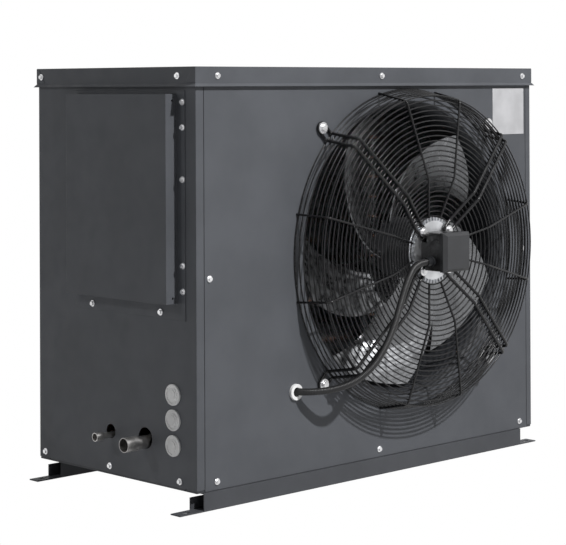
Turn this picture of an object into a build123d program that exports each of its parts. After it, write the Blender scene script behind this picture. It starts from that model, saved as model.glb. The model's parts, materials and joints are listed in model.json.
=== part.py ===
"""Air-cooled refrigeration condensing unit: a sheet-metal cabinet on two foot rails, with one axial fan
blowing out of the front through a domed wire guard, a coil across the back, and a compressor bay at the
left behind a service side with pipe stubs, cable plugs and a raised electrical cover.

Millimetres. +Z is up and the floor is Z = 0. The front (fan side) faces -Y, the service side faces -X.
The origin is the centre of the four foot slots at floor level.
"""
from build123d import *
from math import cos, radians, sin, tan
import os

# ---- foot rails -------------------------------------------------------------------------------------
SLOT_SPACING_X = 1111.0
SLOT_SPACING_Y = 487.0
SLOT_WIDTH = 9.0
SLOT_LENGTH = 22.0
RAIL_SHEET = 2.5
RAIL_HEIGHT = 39.0
RAIL_WIDTH = 30.0
RAIL_LIP = 28.0
LUG_LENGTH = 60.0
WEB_TO_SIDE = 17.0
WEB_TO_SIDE_RIGHT = 45.0
LIP_SHORTER = 14.0

# ---- cabinet ----------------------------------------------------------------------------------------
CABINET_W = 1100.0
CABINET_D = 540.0
CABINET_LOW = 44.0
CABINET_TOP = 925.0
SHEET = 1.2
FRAME_SHEET = 1.5
SIDE_FLANGE = 21.5
PANEL_GAP = 1.4
PANEL_DROP = 4.5
LID_OVERHANG = 3.2
LID_FLANGE = 42.0
LID_LIP = 7.0
PAN_UPSTAND = 38.0
POST_LEG_LEFT = 44.0
POST_LEG_RIGHT = 58.0
POST_LEG_SIDE = 34.0
BAY_WIDTH = 303.0

PLATE_FROM_RIGHT = 24.6
PLATE_WIDTH = 118.0
PLATE_HEIGHT = 112.0
PLATE_THICK = 0.6
PLATE_LOW = 764.0
COVER_FOOT_DROP = 21.0
COVER_FOOT_YS = (112.5, 343.3)

# ---- fan --------------------------------------------------------------------------------------------
FAN_HEIGHT = 508.0
NOZZLE_R = 322.0
NOZZLE_FLARE = 16.0
NOZZLE_MOUTH_R = NOZZLE_R + NOZZLE_FLARE
NOZZLE_SHEET = 2.0
PARTITION_GAP = 7.0
NOZZLE_DEPTH = 112.0
NOZZLE_CURVE = 30.0
TIP_GAP = 8.0
BLADE_TIP_R = NOZZLE_R - TIP_GAP
BLADE_COUNT = 5
BLADE_THICK = 3.0
BLADE_ROOT_CHORD = 100.0
BLADE_TIP_CHORD = 240.0
BLADE_ROOT_PITCH = 36.0
BLADE_TIP_PITCH = 18.0
BLADE_SWEEP = 60.0
BLADE_START = 17.0
BLADE_DEPTH = 48.0
ROTOR_R = 70.0
ROTOR_LENGTH = 112.0
ROTOR_GAP = 4.0
FLANGE_R = 67.0
FLANGE_THICK = 12.0
FLANGE_FIN_R = 75.0
MOTOR_EYE_R = 62.0
FLANGE_FIN_COUNT = 44
SHAFT_R = 8.5
BEARING_R = 20.0
BEARING_W = 14.0

# ---- wire guard: the dome's profile is (radius, distance in front of the panel) ------------------------
GUARD_RIM_R = 371.0
GUARD_SHOULDER_R = 353.0
GUARD_SHOULDER_H = 82.0
GUARD_CREST_R = 170.0
GUARD_CREST_H = 105.0
GUARD_HUB_R = 78.0
GUARD_HUB_H = 84.0
RING_WIRE_R = 1.6
RIB_WIRE_R = 2.5
ARM_WIRE_R = 3.5
ARM_PITCH = 22.0
EYE_PCD = 800.0
RING_STEP = 11.3
WALL_RINGS = 7
GUARD_BOLT_R = 4.0

# ---- terminal box and conduit -----------------------------------------------------------------------
BOX_SIZE = 86.0
BOX_DEPTH = 57.0
BOX_LID_DEPTH = 17.5
BOX_WALL = 2.5
CONDUIT_R = 8.0
GROMMET_R = 17.5
GROMMET_HOLE_R = 13.0
GROMMET_FROM_LEFT = 285.0
GROMMET_HEIGHT = 218.0

# ---- service side -----------------------------------------------------------------------------------
COVER_FRONT = 60.0
COVER_BACK = 399.0
COVER_LOW = 428.0
COVER_HIGH = 868.0
COVER_DEPTH = 31.0
COVER_BORDER_SIDE = 27.5
COVER_BORDER_LOW = 34.0
COVER_BORDER_TOP = 8.0
PLUG_FROM_FRONT = 74.0
PLUG_HEIGHTS = (129.5, 183.5, 236.5)
PLUG_R = 22.5
PLUG_HOLE_R = 17.5
SUCTION_FROM_FRONT = 166.0
SUCTION_HEIGHT = 126.0
SUCTION_R = 14.3
SUCTION_HOLE_R = 22.5
LIQUID_FROM_FRONT = 283.0
LIQUID_HEIGHT = 126.0
LIQUID_R = 6.4
LIQUID_HOLE_R = 15.0
STUB_HOLE_RISE = 8.0
SUCTION_OUT = 60.0
LIQUID_OUT = 45.0
PIPE_WALL = 1.2

# ---- screws -----------------------------------------------------------------------------------------
SCREW_R = 2.6
SCREW_CLEAR = 0.2
SCREW_LENGTH = 9.0
SCREW_HEAD_R = 7.0
SCREW_HEAD_T = 1.4
SCREW_HEX_R = 4.6
SCREW_HEX_T = 4.2
BOTTOM_SCREW_Z = 57.5
LID_SCREW_Z = 906.0

# ---- refrigeration parts ----------------------------------------------------------------------------
COIL_DEPTH = 44.0
COIL_FROM_BACK = 14.0
COIL_ROWS = 2
COIL_TUBE_R = 4.8
COIL_TUBE_PITCH = 52.0
COIL_PLATE = 2.0
COIL_END_SPACE = 34.0
COIL_NOZZLE_GAP = 36.0
COIL_BEND = 50.0
COIL_GUARD_WIRE_R = 1.2
GUARD_PAN_GAP = 1.5
SIDE_OPEN_FRONT = 16.5
SIDE_OPEN_WIDTH = 300.0
SIDE_OPEN_LOW = 90.0
SIDE_OPEN_HIGH = 840.0
COMPRESSOR_R = 82.0
COMPRESSOR_HEIGHT = 300.0
COMPRESSOR_FOOT = 190.0
MOUNT_HEIGHT = 22.0
RECEIVER_R = 54.0
RECEIVER_HEIGHT = 250.0

# ---- derived places ---------------------------------------------------------------------------------
LEFT = -SLOT_SPACING_X / 2 + 23.0
RIGHT = LEFT + CABINET_W
FRONT = -SLOT_SPACING_Y / 2 - 11.0
BACK = FRONT + CABINET_D
LID_LOW = CABINET_TOP - LID_FLANGE
PANEL_TOP = CABINET_TOP - SHEET
PAN_TOP = RAIL_HEIGHT + FRAME_SHEET
PARTITION_X = LEFT + BAY_WIDTH
FAN_X = PARTITION_X + PARTITION_GAP + NOZZLE_MOUTH_R + NOZZLE_SHEET
INNER = SHEET + FRAME_SHEET


def box(x0, x1, y0, y1, z0, z1):
    """A block between opposite corners."""
    size = Vector(x1 - x0, y1 - y0, z1 - z0)
    return Pos((x0 + x1) / 2, (y0 + y1) / 2, (z0 + z1) / 2) * Box(size.X, size.Y, size.Z)


def rod(start, end, radius):
    """A round bar from one point to another."""
    start, end = Vector(*start), Vector(*end)
    axis = end - start
    return extrude(Plane(start, z_dir=axis) * Circle(radius), axis.length)


def pipe(points, radius, bend, wall=0.0):
    """A tube along straight runs joined by arcs; solid where the wall is 0."""
    path = FilletPolyline(*points, radius=bend)
    section = Circle(radius) - Circle(radius - wall) if wall else Circle(radius)
    return sweep(Plane(path @ 0, z_dir=path % 0) * section, path=path)


def fan_axis(solid):
    """Places a solid made about Z at the fan: its Z is the distance in front of the front panel."""
    return Pos(FAN_X, FRONT, FAN_HEIGHT) * Rot(90, 0, 0) * solid


def group(*solids):
    """Several solids in one node."""
    flat = []
    for solid in solids:
        flat += list(solid.solids())
    return Compound(children=flat)


# ---- screws: each site is (point on the outer surface, outward direction) ----------------------------
def sites_x(side, ys, z):
    out = -1 if side == LEFT else 1
    return [((side, y, z), (out, 0, 0)) for y in ys]


def sites_y(side, xs, z):
    out = -1 if side == FRONT else 1
    return [((x, side, z), (0, out, 0)) for x in xs]


def screw(site):
    """Hexagon washer-head screw whose washer lies on the site."""
    point, out = Vector(*site[0]), Vector(*site[1])
    seat = Plane(point, z_dir=out)
    head = extrude(seat * Circle(SCREW_HEAD_R), SCREW_HEAD_T)
    head += extrude(seat * RegularPolygon(SCREW_HEX_R, 6), SCREW_HEAD_T + SCREW_HEX_T)
    return head + extrude(seat * Circle(SCREW_R), -SCREW_LENGTH)


def drill(solid, sites):
    """Clearance holes for the screws at these sites."""
    for point, out in sites:
        start = Vector(*point) + Vector(*out) * 2 * SCREW_HEAD_T
        seat = Plane(start, z_dir=out)
        solid -= extrude(seat * Circle(SCREW_R + SCREW_CLEAR), -(SCREW_LENGTH + 4 * SCREW_HEAD_T))
    return solid


side_ys = (FRONT + 53.6, FRONT + 286.8, BACK - 21.4)
lid_ys = (FRONT + 53.6, BACK - 14.2)
front_xs = (LEFT + 55.5, FAN_X - 99.0, RIGHT - 46.2)
lid_xs = (LEFT + 58.4, FAN_X - 88.6, RIGHT - 33.3)
mid_xs = (LEFT + 36.8, RIGHT - 31.8)
MID_SCREW_Z = FAN_HEIGHT - 26.0

panel_sites = (
    sites_y(FRONT, front_xs, BOTTOM_SCREW_Z)
    + sites_y(FRONT, mid_xs, MID_SCREW_Z)
    + sites_x(LEFT, side_ys, BOTTOM_SCREW_Z)
    + sites_x(RIGHT, side_ys, BOTTOM_SCREW_Z)
)
lid_sites = (
    sites_x(LEFT, lid_ys, LID_SCREW_Z)
    + sites_x(RIGHT, lid_ys, LID_SCREW_Z)
    + sites_y(FRONT, lid_xs, LID_SCREW_Z)
    + sites_y(BACK, (lid_xs[0], lid_xs[2]), LID_SCREW_Z)
)
lid_outer_sites = [
    (tuple(Vector(*p) + Vector(*out) * LID_OVERHANG), out) for p, out in lid_sites
]
cover_side_zs = (455.0, 509.0, 689.0, 798.0, 851.0)
COVER_SCREW_Y = FRONT + 40.0
cover_sites = [
    ((LEFT - SHEET, COVER_SCREW_Y, z), (-1, 0, 0)) for z in cover_side_zs
] + [
    ((LEFT - SHEET, FRONT + y, COVER_LOW - COVER_FOOT_DROP), (-1, 0, 0)) for y in COVER_FOOT_YS
]


# ---- foot rails -------------------------------------------------------------------------------------
def foot_rail(web_y):
    """Folded rail: tall web at the front, floor flange running out into slotted lugs, short rear lip."""
    web_x0, web_x1 = LEFT + WEB_TO_SIDE, RIGHT - WEB_TO_SIDE_RIGHT
    low = web_y
    rail = box(web_x0, web_x1, low, low + RAIL_SHEET, 0, RAIL_HEIGHT)
    rail += box(web_x0, web_x1, low, low + RAIL_WIDTH, RAIL_HEIGHT - RAIL_SHEET, RAIL_HEIGHT)
    lug_x0 = -SLOT_SPACING_X / 2 - LUG_LENGTH / 2 + 4.0
    lug_x1 = SLOT_SPACING_X / 2 + LUG_LENGTH / 2 - 4.0
    rail += box(lug_x0, lug_x1, low, low + RAIL_WIDTH, 0, RAIL_SHEET)
    lip_y = low + RAIL_WIDTH - RAIL_SHEET
    rail += box(web_x0 - LIP_SHORTER, web_x1 + LIP_SHORTER, lip_y, low + RAIL_WIDTH, 0, RAIL_LIP)
    for x in (-SLOT_SPACING_X / 2, SLOT_SPACING_X / 2):
        slot = SlotOverall(SLOT_LENGTH, SLOT_WIDTH)
        y = low + RAIL_WIDTH / 2 - RAIL_SHEET / 2
        rail -= Pos(x, y, -1) * extrude(slot, RAIL_SHEET + 2)
    return rail


RAIL_SLOT_IN = RAIL_WIDTH / 2 - RAIL_SHEET / 2
front_rail = foot_rail(-SLOT_SPACING_Y / 2 - RAIL_SLOT_IN)
rear_rail = foot_rail(SLOT_SPACING_Y / 2 - RAIL_SLOT_IN)


# ---- base pan and posts -----------------------------------------------------------------------------
def base_pan():
    """Floor tray with an upstand behind each panel, notched at the corners for the posts."""
    x0, x1 = LEFT + SHEET, RIGHT - SHEET
    y0, y1 = FRONT + SHEET, BACK - SHEET
    pan = box(x0, x1, y0, y1, RAIL_HEIGHT, PAN_TOP)
    z1 = PAN_TOP + PAN_UPSTAND
    nl, nr, ny = POST_LEG_LEFT + 2, POST_LEG_RIGHT + 2, POST_LEG_SIDE + 3
    pan += box(x0 + nl, x1 - nr, y0, y0 + FRAME_SHEET, RAIL_HEIGHT, z1)
    pan += box(x0 + nl, x1 - nr, y1 - FRAME_SHEET, y1, RAIL_HEIGHT, z1)
    pan += box(x0, x0 + FRAME_SHEET, y0 + ny, y1 - ny, RAIL_HEIGHT, z1)
    pan += box(x1 - FRAME_SHEET, x1, y0 + ny, y1 - ny, RAIL_HEIGHT, z1)
    return drill(pan, panel_sites)


def corner_post(at_left, at_front):
    """Upright angle standing on the pan inside a cabinet corner."""
    x_out = LEFT + SHEET if at_left else RIGHT - SHEET
    y_out = FRONT + SHEET if at_front else BACK - SHEET
    sx, sy = (1 if at_left else -1), (1 if at_front else -1)
    z0, z1 = PAN_TOP, PANEL_TOP
    leg = POST_LEG_LEFT if at_left else POST_LEG_RIGHT
    xs = sorted((x_out, x_out + sx * leg))
    ys = sorted((y_out, y_out + sy * FRAME_SHEET))
    post = box(xs[0], xs[1], ys[0], ys[1], z0, z1)
    xs = sorted((x_out, x_out + sx * FRAME_SHEET))
    ys = sorted((y_out, y_out + sy * POST_LEG_SIDE))
    post += box(xs[0], xs[1], ys[0], ys[1], z0, z1)
    return drill(post, panel_sites + lid_sites + cover_sites)


# ---- cabinet panels ---------------------------------------------------------------------------------
def side_panel(at_left):
    """Flat side with a return flange wrapping each vertical corner."""
    x0, x1 = (LEFT, LEFT + SHEET) if at_left else (RIGHT - SHEET, RIGHT)
    panel = box(x0, x1, FRONT, BACK, CABINET_LOW, PANEL_TOP)
    f0, f1 = (LEFT, LEFT + SIDE_FLANGE) if at_left else (RIGHT - 17.0, RIGHT)
    for y0 in (FRONT, BACK - SHEET):
        panel += box(f0, f1, y0, y0 + SHEET, CABINET_LOW, PANEL_TOP)
    return drill(panel, panel_sites + lid_sites)


def right_side_panel():
    """Right side with the air opening in front of the coil's side leg."""
    panel = side_panel(False)
    y0 = COIL_END_Y + SIDE_OPEN_FRONT
    return panel - box(RIGHT - 5, RIGHT + 5, y0, y0 + SIDE_OPEN_WIDTH, SIDE_OPEN_LOW, SIDE_OPEN_HIGH)


def left_side_panel():
    panel = side_panel(True)
    hole = 4.0
    x0, x1 = LEFT - 1, LEFT + SHEET + 1
    inset = 12.0
    y0, y1 = FRONT + COVER_FRONT + inset, FRONT + COVER_BACK - inset
    panel -= box(x0, x1, y0, y1, COVER_LOW + inset, COVER_HIGH - inset)
    for y, z, r in (
        [(PLUG_FROM_FRONT, z, PLUG_HOLE_R) for z in PLUG_HEIGHTS]
        + [(SUCTION_FROM_FRONT, SUCTION_HEIGHT + STUB_HOLE_RISE, SUCTION_HOLE_R)]
        + [(LIQUID_FROM_FRONT, LIQUID_HEIGHT + STUB_HOLE_RISE, LIQUID_HOLE_R)]
    ):
        panel -= rod((x0 - hole, FRONT + y, z), (x1 + hole, FRONT + y, z), r)
    return drill(panel, cover_sites)


def front_panel():
    """Fan panel: round mouth, grommet hole, guard bolt holes and a folded edge at each side."""
    x0, x1 = LEFT + SIDE_FLANGE + PANEL_GAP, RIGHT - 17.0 - PANEL_GAP
    z0 = CABINET_LOW - PANEL_DROP
    panel = box(x0, x1, FRONT, FRONT + SHEET, z0, PANEL_TOP)
    panel -= fan_axis(Pos(0, 0, -5) * Cylinder(NOZZLE_MOUTH_R, 20))
    gx = LEFT + GROMMET_FROM_LEFT
    panel -= rod((gx, FRONT - 5, GROMMET_HEIGHT), (gx, FRONT + 5, GROMMET_HEIGHT), GROMMET_HOLE_R)
    for a in (45, 135, 225, 315):
        x, z = FAN_X + EYE_PCD / 2 * cos(radians(a)), FAN_HEIGHT + EYE_PCD / 2 * sin(radians(a))
        panel -= rod((x, FRONT - 5, z), (x, FRONT + 5, z), GUARD_BOLT_R + SCREW_CLEAR)
    return drill(panel, panel_sites + lid_sites)


def rear_panel():
    """Back of the compressor bay, between the left corner and the coil."""
    x0 = LEFT + SIDE_FLANGE + PANEL_GAP
    panel = box(x0, PARTITION_X + 10, BACK - SHEET, BACK, CABINET_LOW - PANEL_DROP, PANEL_TOP)
    louvre_x0, louvre_x1 = x0 + 60, PARTITION_X - 50
    for i in range(8):
        z = 620.0 + 28.0 * i
        panel -= box(louvre_x0, louvre_x1, BACK - 5, BACK + 5, z, z + 8)
    return drill(panel, lid_sites)


def lid():
    """Folded roof: a flat top, a flange all round and a lip flared outwards along its lower edge."""
    x0, x1, y0, y1 = LEFT - LID_OVERHANG, RIGHT + LID_OVERHANG, FRONT - LID_OVERHANG, BACK + LID_OVERHANG
    flare_z = LID_LOW + LID_LIP

    def ring(grow, z):
        rect = Rectangle(x1 - x0 + 2 * grow, y1 - y0 + 2 * grow)
        return Pos((x0 + x1) / 2, (y0 + y1) / 2, z) * rect

    outer = box(x0, x1, y0, y1, flare_z, CABINET_TOP)
    outer -= box(x0 + SHEET, x1 - SHEET, y0 + SHEET, y1 - SHEET, flare_z - 1, PANEL_TOP)
    flare = loft([ring(LID_LIP * 0.8, LID_LOW), ring(0, flare_z)])
    hollow = loft([ring(LID_LIP * 0.8 - SHEET * 1.1, LID_LOW), ring(-SHEET, flare_z)])
    roof = outer + (flare - hollow)
    return drill(roof, lid_outer_sites)


def partition():
    """Bulkhead between the compressor bay and the fan bay."""
    y1 = BACK - SHEET - FRAME_SHEET
    wall = box(PARTITION_X, PARTITION_X + FRAME_SHEET, FRONT + INNER, y1, PAN_TOP, PANEL_TOP)
    for z in (COIL_TUBES_Z[0], COIL_TUBES_Z[-1]):
        wall -= rod((PARTITION_X - 5, HEADER_Y, z), (PARTITION_X + 5, HEADER_Y, z), 13.0)
    return wall


# ---- electrical section -----------------------------------------------------------------------------
BOX_BACK = 84.0
C_Y0, C_Y1 = FRONT + COVER_FRONT, FRONT + COVER_BACK


def control_box():
    """Open tray behind the side panel that holds the switchgear."""
    x0 = LEFT + SHEET
    w = FRAME_SHEET
    tray = box(x0, x0 + BOX_BACK, C_Y0 + 4, C_Y1 - 4, COVER_LOW + 4, COVER_HIGH - 4)
    tray -= box(x0 - 1, x0 + BOX_BACK - w, C_Y0 + 4 + w, C_Y1 - 4 - w, COVER_LOW + 4 + w, COVER_HIGH - 4 - w)
    return tray


def control_cover():
    """Raised tray cover with a screwed border along its front and lower edges."""
    x0 = LEFT - SHEET
    border = box(x0, LEFT, C_Y0 - COVER_BORDER_SIDE, C_Y1 + 6, COVER_LOW - COVER_BORDER_LOW, COVER_HIGH + COVER_BORDER_TOP)
    tray = box(LEFT - COVER_DEPTH, LEFT, C_Y0, C_Y1, COVER_LOW, COVER_HIGH)
    hollow = box(
        LEFT - COVER_DEPTH + SHEET, LEFT + 1, C_Y0 + SHEET, C_Y1 - SHEET, COVER_LOW + SHEET, COVER_HIGH - SHEET
    )
    cover = (border + tray) - hollow
    for z in (COVER_LOW + 12, COVER_HIGH - 14):
        x = LEFT - COVER_DEPTH * 0.4
        cover -= rod((x, C_Y0 - 2, z), (x, C_Y0 + 4, z), 2.4)
    return drill(cover, cover_sites)


def din_rail_set():
    """Contactor, terminal strip and controller bolted to the back of the control box."""
    back = LEFT + SHEET + BOX_BACK - FRAME_SHEET
    y_mid, z_mid = (C_Y0 + C_Y1) / 2, (COVER_LOW + COVER_HIGH) / 2
    rail = box(back - 7, back, C_Y0 + 30, C_Y1 - 30, z_mid + 30, z_mid + 65)
    contactor = box(back - 67, back - 7, y_mid - 100, y_mid - 52, z_mid + 8, z_mid + 88)
    contactor += box(back - 75, back - 67, y_mid - 94, y_mid - 58, z_mid + 28, z_mid + 68)
    breaker = box(back - 60, back - 7, y_mid - 44, y_mid + 8, z_mid + 4, z_mid + 92)
    breaker += box(back - 70, back - 60, y_mid - 40, y_mid + 4, z_mid + 38, z_mid + 54)
    controller = box(back - 45, back, y_mid + 20, y_mid + 130, z_mid - 150, z_mid - 20)
    terminals = [
        box(back - 40, back, y_mid - 120 + 12 * i, y_mid - 109 + 12 * i, z_mid - 130, z_mid - 85) for i in range(9)
    ]
    return rail, contactor, breaker, controller, group(*terminals)


# ---- fan --------------------------------------------------------------------------------------------
def nozzle_ring():
    """Inlet nozzle: a mouth that curves in from the panel to a straight cylinder behind it."""
    back, mouth = -NOZZLE_DEPTH, -SHEET
    with BuildPart() as ring:
        with BuildSketch(Plane.XZ):
            with BuildLine():
                outer = [(NOZZLE_R, back), (NOZZLE_R, mouth - NOZZLE_CURVE)]
                Polyline(*outer)
                TangentArc((NOZZLE_R, mouth - NOZZLE_CURVE), (NOZZLE_MOUTH_R, mouth), tangent=(0, 1))
                Line((NOZZLE_MOUTH_R, mouth), (NOZZLE_MOUTH_R + NOZZLE_SHEET, mouth))
                TangentArc(
                    (NOZZLE_R + NOZZLE_SHEET, mouth - NOZZLE_CURVE), (NOZZLE_MOUTH_R + NOZZLE_SHEET, mouth), tangent=(0, 1)
                )
                Polyline((NOZZLE_R + NOZZLE_SHEET, mouth - NOZZLE_CURVE), (NOZZLE_R + NOZZLE_SHEET, back), (NOZZLE_R, back))
            make_face()
        revolve(axis=Axis.Z)
    return fan_axis(ring.part)


def blade(angle):
    """One swept, twisted blade, trimmed to the rotor and to the tip circle."""
    sections = []
    for t in (0.0, 0.33, 0.67, 1.0):
        r = (ROTOR_R - 8) + t * (BLADE_TIP_R + 6 - ROTOR_R + 8)
        chord = BLADE_ROOT_CHORD + t * (BLADE_TIP_CHORD - BLADE_ROOT_CHORD)
        pitch = BLADE_ROOT_PITCH + t * (BLADE_TIP_PITCH - BLADE_ROOT_PITCH)
        place = Rot(0, 0, angle - BLADE_SWEEP * t) * Pos(r, 0, -BLADE_DEPTH) * Rot(pitch, 0, 0)
        sections.append((place * (Plane.YZ * Rectangle(chord, BLADE_THICK))).face())
    whole = Part() + loft(sections)
    tip = Pos(0, 0, -BLADE_DEPTH) * (Cylinder(1.3 * BLADE_TIP_R, NOZZLE_R) - Cylinder(BLADE_TIP_R, NOZZLE_R))
    whole = whole - tip - Pos(0, 0, -BLADE_DEPTH) * Cylinder(ROTOR_R, NOZZLE_R)
    return fan_axis(whole)


FLANGE_BACK = GUARD_HUB_H - FLANGE_THICK - ARM_WIRE_R
ROTOR_TOP = FLANGE_BACK - ROTOR_GAP


def motor_stator():
    """Finned stator flange with the fixed shaft that carries the bearings."""
    flange = Pos(0, 0, FLANGE_BACK + FLANGE_THICK / 2) * Cylinder(FLANGE_R, FLANGE_THICK)
    rim = Pos(0, 0, FLANGE_BACK + 2.5) * Cylinder(FLANGE_FIN_R, 5)
    fins = [
        Rot(0, 0, 360 / FLANGE_FIN_COUNT * i) * box(FLANGE_R - 2, FLANGE_FIN_R, -1.1, 1.1, FLANGE_BACK, FLANGE_BACK + FLANGE_THICK)
        for i in range(FLANGE_FIN_COUNT)
    ]
    flange = flange + rim + fins
    flange += Pos(0, 0, ROTOR_TOP - ROTOR_LENGTH / 2 + ROTOR_GAP) * Cylinder(SHAFT_R, ROTOR_LENGTH - 8)
    flange += Pos(0, 0, FLANGE_BACK - 38) * Cylinder(ROTOR_R - 12, 76)
    for a in (45, 135, 225, 315):
        flange -= Rot(0, 0, a) * Pos(MOTOR_EYE_R, 0, FLANGE_BACK + FLANGE_THICK) * Cylinder(GUARD_BOLT_R + SCREW_CLEAR, 18)
    return fan_axis(flange)


def motor_rotor():
    """External rotor can, closed at the back, with seats for the two bearings."""
    depth = ROTOR_LENGTH
    z1 = ROTOR_TOP
    can = Pos(0, 0, z1 - depth / 2) * Cylinder(ROTOR_R, depth)
    can = chamfer(can.edges().group_by(Axis.Z)[0], 8)
    can -= Pos(0, 0, z1 - (depth - 5) / 2 + 0.01) * Cylinder(ROTOR_R - 8, depth - 5)
    can += Pos(0, 0, z1 - depth + 5 + BEARING_W) * Cylinder(BEARING_R + 5, 2 * BEARING_W)
    can -= Pos(0, 0, z1 - depth + 5 + BEARING_W) * Cylinder(BEARING_R, 2 * BEARING_W)
    return fan_axis(can)


def motor_bearings():
    """The pair of ball bearings pressed in the rotor's boss and running on the fixed shaft."""
    z = ROTOR_TOP - ROTOR_LENGTH + 5
    pair = []
    for k in (0.5, 1.5):
        race = Cylinder(BEARING_R, BEARING_W) - Cylinder(SHAFT_R + 0.05, BEARING_W)
        pair.append(fan_axis(Pos(0, 0, z + k * BEARING_W) * race))
    return group(*pair)


# ---- wire guard -------------------------------------------------------------------------------------
def guard_point(r, h, a):
    """A point of the guard: radius and distance in front of the panel, at an angle in degrees."""
    return (FAN_X + r * cos(radians(a)), FRONT - h, FAN_HEIGHT + r * sin(radians(a)))


def guard_profile(steps_wall, step):
    """Where each round wire sits, from the rim over the shoulder and the crest to the hub."""
    out = []
    for i in range(steps_wall):
        t = i / steps_wall
        r = GUARD_RIM_R + t * (GUARD_SHOULDER_R - GUARD_RIM_R)
        out.append((r, RIB_WIRE_R + t * (GUARD_SHOULDER_H - RIB_WIRE_R)))
    for (r0, h0), (r1, h1) in (
        ((GUARD_SHOULDER_R, GUARD_SHOULDER_H), (GUARD_CREST_R, GUARD_CREST_H)),
        ((GUARD_CREST_R, GUARD_CREST_H), (GUARD_HUB_R, GUARD_HUB_H)),
    ):
        n = round((r0 - r1) / step)
        out += [(r0 + (r1 - r0) * i / n, h0 + (h1 - h0) * i / n) for i in range(n)]
    return out + [(GUARD_HUB_R, GUARD_HUB_H)]


def guard_rings():
    """Concentric wires, one solid each, under the ribs."""
    rings = []
    under = RING_WIRE_R + RIB_WIRE_R - 0.2
    for i, (r, h) in enumerate(guard_profile(WALL_RINGS, RING_STEP)):
        on_wall = i < WALL_RINGS
        place = (r - under, h) if on_wall else (r, h - under)
        section = Plane.XZ * Pos(place[0], place[1]) * RegularPolygon(RING_WIRE_R, 8)
        rings.append(fan_axis(revolve(section, Axis.Z)))
    return group(*rings)


def guard_rib(a):
    points = [
        guard_point(GUARD_RIM_R, 0.5, a),
        guard_point(GUARD_SHOULDER_R, GUARD_SHOULDER_H, a),
        guard_point(GUARD_CREST_R, GUARD_CREST_H, a),
        guard_point(GUARD_HUB_R, GUARD_HUB_H, a),
    ]
    return pipe(points, RIB_WIRE_R, 12.0)


def motor_arm(a):
    """One bent double-wire arm with a closed eye at the panel and another at the motor."""
    eye_r, eye_h, half = EYE_PCD / 2, ARM_WIRE_R + 0.05, ARM_PITCH / 2

    def at(r, h, side):
        x, y, z = guard_point(r, h, a)
        return (x - side * half * sin(radians(a)), y, z + side * half * cos(radians(a)))

    lift = ARM_WIRE_R - RIB_WIRE_R
    end_h = GUARD_HUB_H + 0.05
    arm = None
    for side in (1, -1):
        points = [
            at(eye_r, eye_h, side),
            at(GUARD_RIM_R + lift, eye_h, side),
            at(GUARD_SHOULDER_R + lift, GUARD_SHOULDER_H + lift, side),
            at(GUARD_CREST_R, GUARD_CREST_H + lift, side),
            at(GUARD_HUB_R + 6, end_h, side),
            at(MOTOR_EYE_R, end_h, side),
        ]
        wire = pipe(points, ARM_WIRE_R, 9.0)
        arm = wire if arm is None else arm + wire
    for r, h, out in ((eye_r, eye_h, half), (MOTOR_EYE_R, end_h, -half)):
        arc = ThreePointArc(at(r, h, 1), guard_point(r + out, h, a), at(r, h, -1))
        arm += sweep(Plane(arc @ 0, z_dir=arc % 0) * Circle(ARM_WIRE_R), path=arc)
    return arm


def bolt_with_washer(seat, washer_r, hex_r, hex_t, shank_down):
    """Hexagon bolt standing on a seat plane whose z_dir is the bolt's outward direction."""
    bolt = extrude(seat * Circle(washer_r), 2.0)
    bolt += extrude(seat * RegularPolygon(hex_r, 6), 2.0 + hex_t)
    return bolt + extrude(seat * Circle(GUARD_BOLT_R), -shank_down)


def guard_bolts():
    """Bolt and large washer through each eye into the front panel."""
    bolts = []
    for a in (45, 135, 225, 315):
        tip = Vector(*guard_point(EYE_PCD / 2, 2 * ARM_WIRE_R, a))
        seat = Plane(tip + Vector(0, -0.1, 0), z_dir=(0, -1, 0))
        bolts.append(bolt_with_washer(seat, 13.0, 7.5, 5.5, 2 * ARM_WIRE_R + 8))
    return group(*bolts)


def motor_bolts():
    """Bolt and washer over each inner eye, down into the stator flange."""
    bolts = []
    for a in (45, 135, 225, 315):
        top = Vector(*guard_point(MOTOR_EYE_R, GUARD_HUB_H + ARM_WIRE_R + 0.1, a))
        seat = Plane(top, z_dir=(0, -1, 0))
        bolts.append(bolt_with_washer(seat, 11.0, 6.6, 5.0, 2 * ARM_WIRE_R + 8))
    return group(*bolts)


# ---- terminal box -----------------------------------------------------------------------------------
TB_LOW = GUARD_HUB_H - ARM_WIRE_R
TB_MID = TB_LOW + BOX_DEPTH
TB_TOP = TB_MID + BOX_LID_DEPTH
GLAND_H = TB_LOW + 32.0
GLAND_DROP = 21.0


def terminal_box():
    """Square junction box on the stator flange, cut away under its corners for the arms' feet."""
    half = BOX_SIZE / 2
    shell = box(-half, half, -half, half, TB_LOW, TB_MID)
    shell = fillet(shell.edges().filter_by(Axis.Z), 6)
    shell -= box(-half + BOX_WALL, half - BOX_WALL, -half + BOX_WALL, half - BOX_WALL, TB_LOW + BOX_WALL, TB_MID + 1)
    for a in (45, 135, 225, 315):
        shell -= Rot(0, 0, a) * box(MOTOR_EYE_R - 17, MOTOR_EYE_R + 30, -20, 20, TB_LOW - 1, TB_LOW + 16.5)
    y = -GLAND_DROP
    shell -= rod((-half - 1, y, GLAND_H), (-half + 6, y, GLAND_H), 8.0)
    return fan_axis(shell)


def terminal_box_lid():
    """Lid with a bevelled front edge."""
    half = BOX_SIZE / 2 + 1.0
    top = Pos(0, 0, TB_MID) * loft([Rectangle(2 * half, 2 * half), Pos(0, 0, 9) * Rectangle(2 * half, 2 * half)])
    top += Pos(0, 0, TB_MID + 9) * loft(
        [Rectangle(2 * half, 2 * half), Pos(0, 0, BOX_LID_DEPTH - 9) * Rectangle(2 * half - 14, 2 * half - 14)]
    )
    inner = half - BOX_WALL - 6
    top -= box(-inner, inner, -inner, inner, TB_MID - 1, TB_TOP - BOX_WALL)
    return fan_axis(top)


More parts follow.
